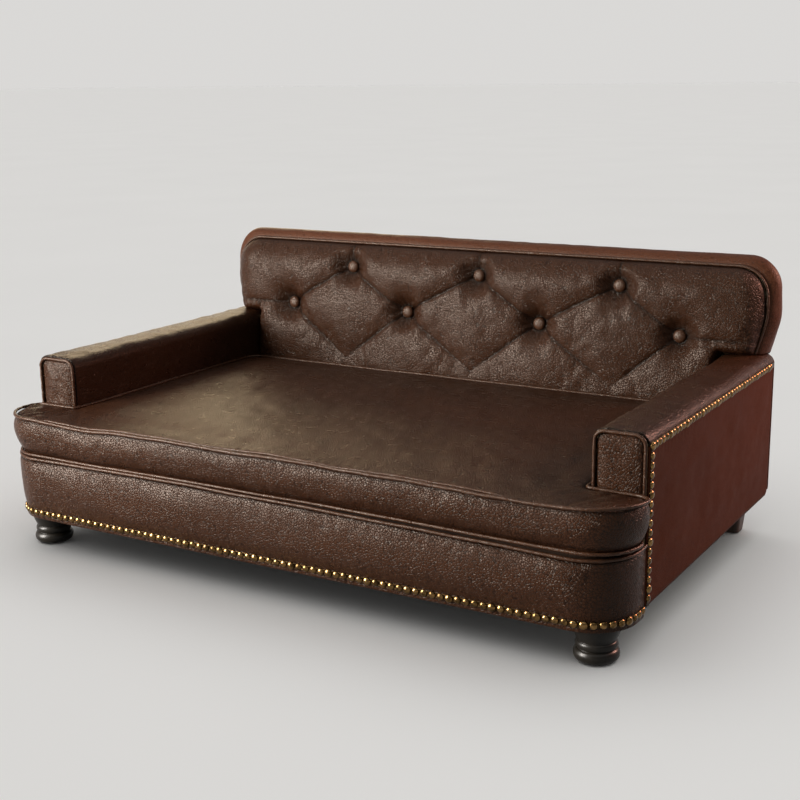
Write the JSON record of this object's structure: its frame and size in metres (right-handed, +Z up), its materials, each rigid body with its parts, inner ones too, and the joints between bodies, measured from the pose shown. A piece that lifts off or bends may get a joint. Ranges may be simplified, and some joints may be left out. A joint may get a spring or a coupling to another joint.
{
  "type": "dog sofa bed",
  "caption": "Low leather sofa for a large dog, with box arms, a button-tufted back, nail trim, turned front feet and a loose T-shaped seat cushion.",
  "frame": {"origin": "on the floor, in the middle of the plan of the bounding box", "axes": "+X to the right for someone who faces the front, +Y to the rear, +Z up"},
  "size_m": [1.0424, 0.6625, 0.4374],
  "materials": {
    "cover_leather": "pebble grain, satin",
    "smooth_leather": "fine grain, satin",
    "welt_leather": "satin",
    "nail_brass": "antique brass",
    "black_foot": "satin black lacquer",
    "brown_foot": "satin dark brown",
    "plywood": "raw",
    "fibreboard": "raw",
    "foam": "open-cell foam",
    "lining": "non-woven black",
    "deck_cloth": "plain woven brown",
    "tie_cord": "waxed cord",
    "steel": "zinc plated",
    "glide": "matte",
    "zip_tape": "matte dark brown",
    "zip_metal": "antique brass"
  },
  "bodies": {
    "base": {"back_band": "smooth_leather", "back_board": "plywood", "back_buttons": "cover_leather", "back_foam": "foam", "back_rear_foam": "foam", "back_welt": "welt_leather", "button_ties": "tie_cord", "centre_rail": "plywood", "corner_block_front_left": "plywood", "corner_block_front_right": "plywood", "corner_block_rear_left": "plywood", "corner_block_rear_right": "plywood", "deck_cover": "deck_cloth", "dust_cover": "lining", "foot_bolts": "steel", "foot_glides": "glide", "front_left_foot": "black_foot", "front_right_foot": "black_foot", "left_arm_cover": "cover_leather", "left_arm_foam": "foam", "left_arm_front_board": "plywood", "left_arm_front_panel": "cover_leather", "left_arm_front_welt": "welt_leather", "left_arm_inner_board": "plywood", "left_arm_top_board": "plywood", "left_deck_cleat": "plywood", "left_side_board": "plywood", "left_side_nail_strip": "nail_brass", "left_side_panel": "smooth_leather", "lower_rear_panel": "smooth_leather", "nose_apron": "fibreboard", "nose_floor": "plywood", "rear_deck_cleats": "plywood", "rear_left_foot": "brown_foot", "rear_right_foot": "brown_foot", "right_arm_cover": "cover_leather", "right_arm_foam": "foam", "right_arm_front_board": "plywood", "right_arm_front_panel": "cover_leather", "right_arm_front_welt": "welt_leather", "right_arm_inner_board": "plywood", "right_arm_top_board": "plywood", "right_deck_cleat": "plywood", "right_side_board": "plywood", "right_side_nail_strip": "nail_brass", "right_side_panel": "smooth_leather", "seat_deck": "plywood", "skirt_cover": "cover_leather", "skirt_nail_strip": "nail_brass", "skirt_welt": "welt_leather", "tee_nuts": "steel", "trim_nails": "nail_brass", "tufted_back_pad": "cover_leather", "upper_rear_panel": "smooth_leather"},
    "seat_cushion": {"cushion_bottom_welt": "welt_leather", "cushion_cover": "cover_leather", "cushion_foam": "foam", "cushion_top_welt": "welt_leather", "cushion_zip": "zip_tape"},
    "zip_slider": {"zip_slider": "zip_metal"}
  },
  "joints": [
    {"name": "cushion_lift", "type": "slide", "parent": "base", "child": "seat_cushion", "axis": [0, 0, 1], "range_m": [0, 0.165]},
    {"name": "zip_run", "type": "slide", "parent": "seat_cushion", "child": "zip_slider", "axis": [-1, 0, 0], "range_m": [0, 0.728]}
  ]
}
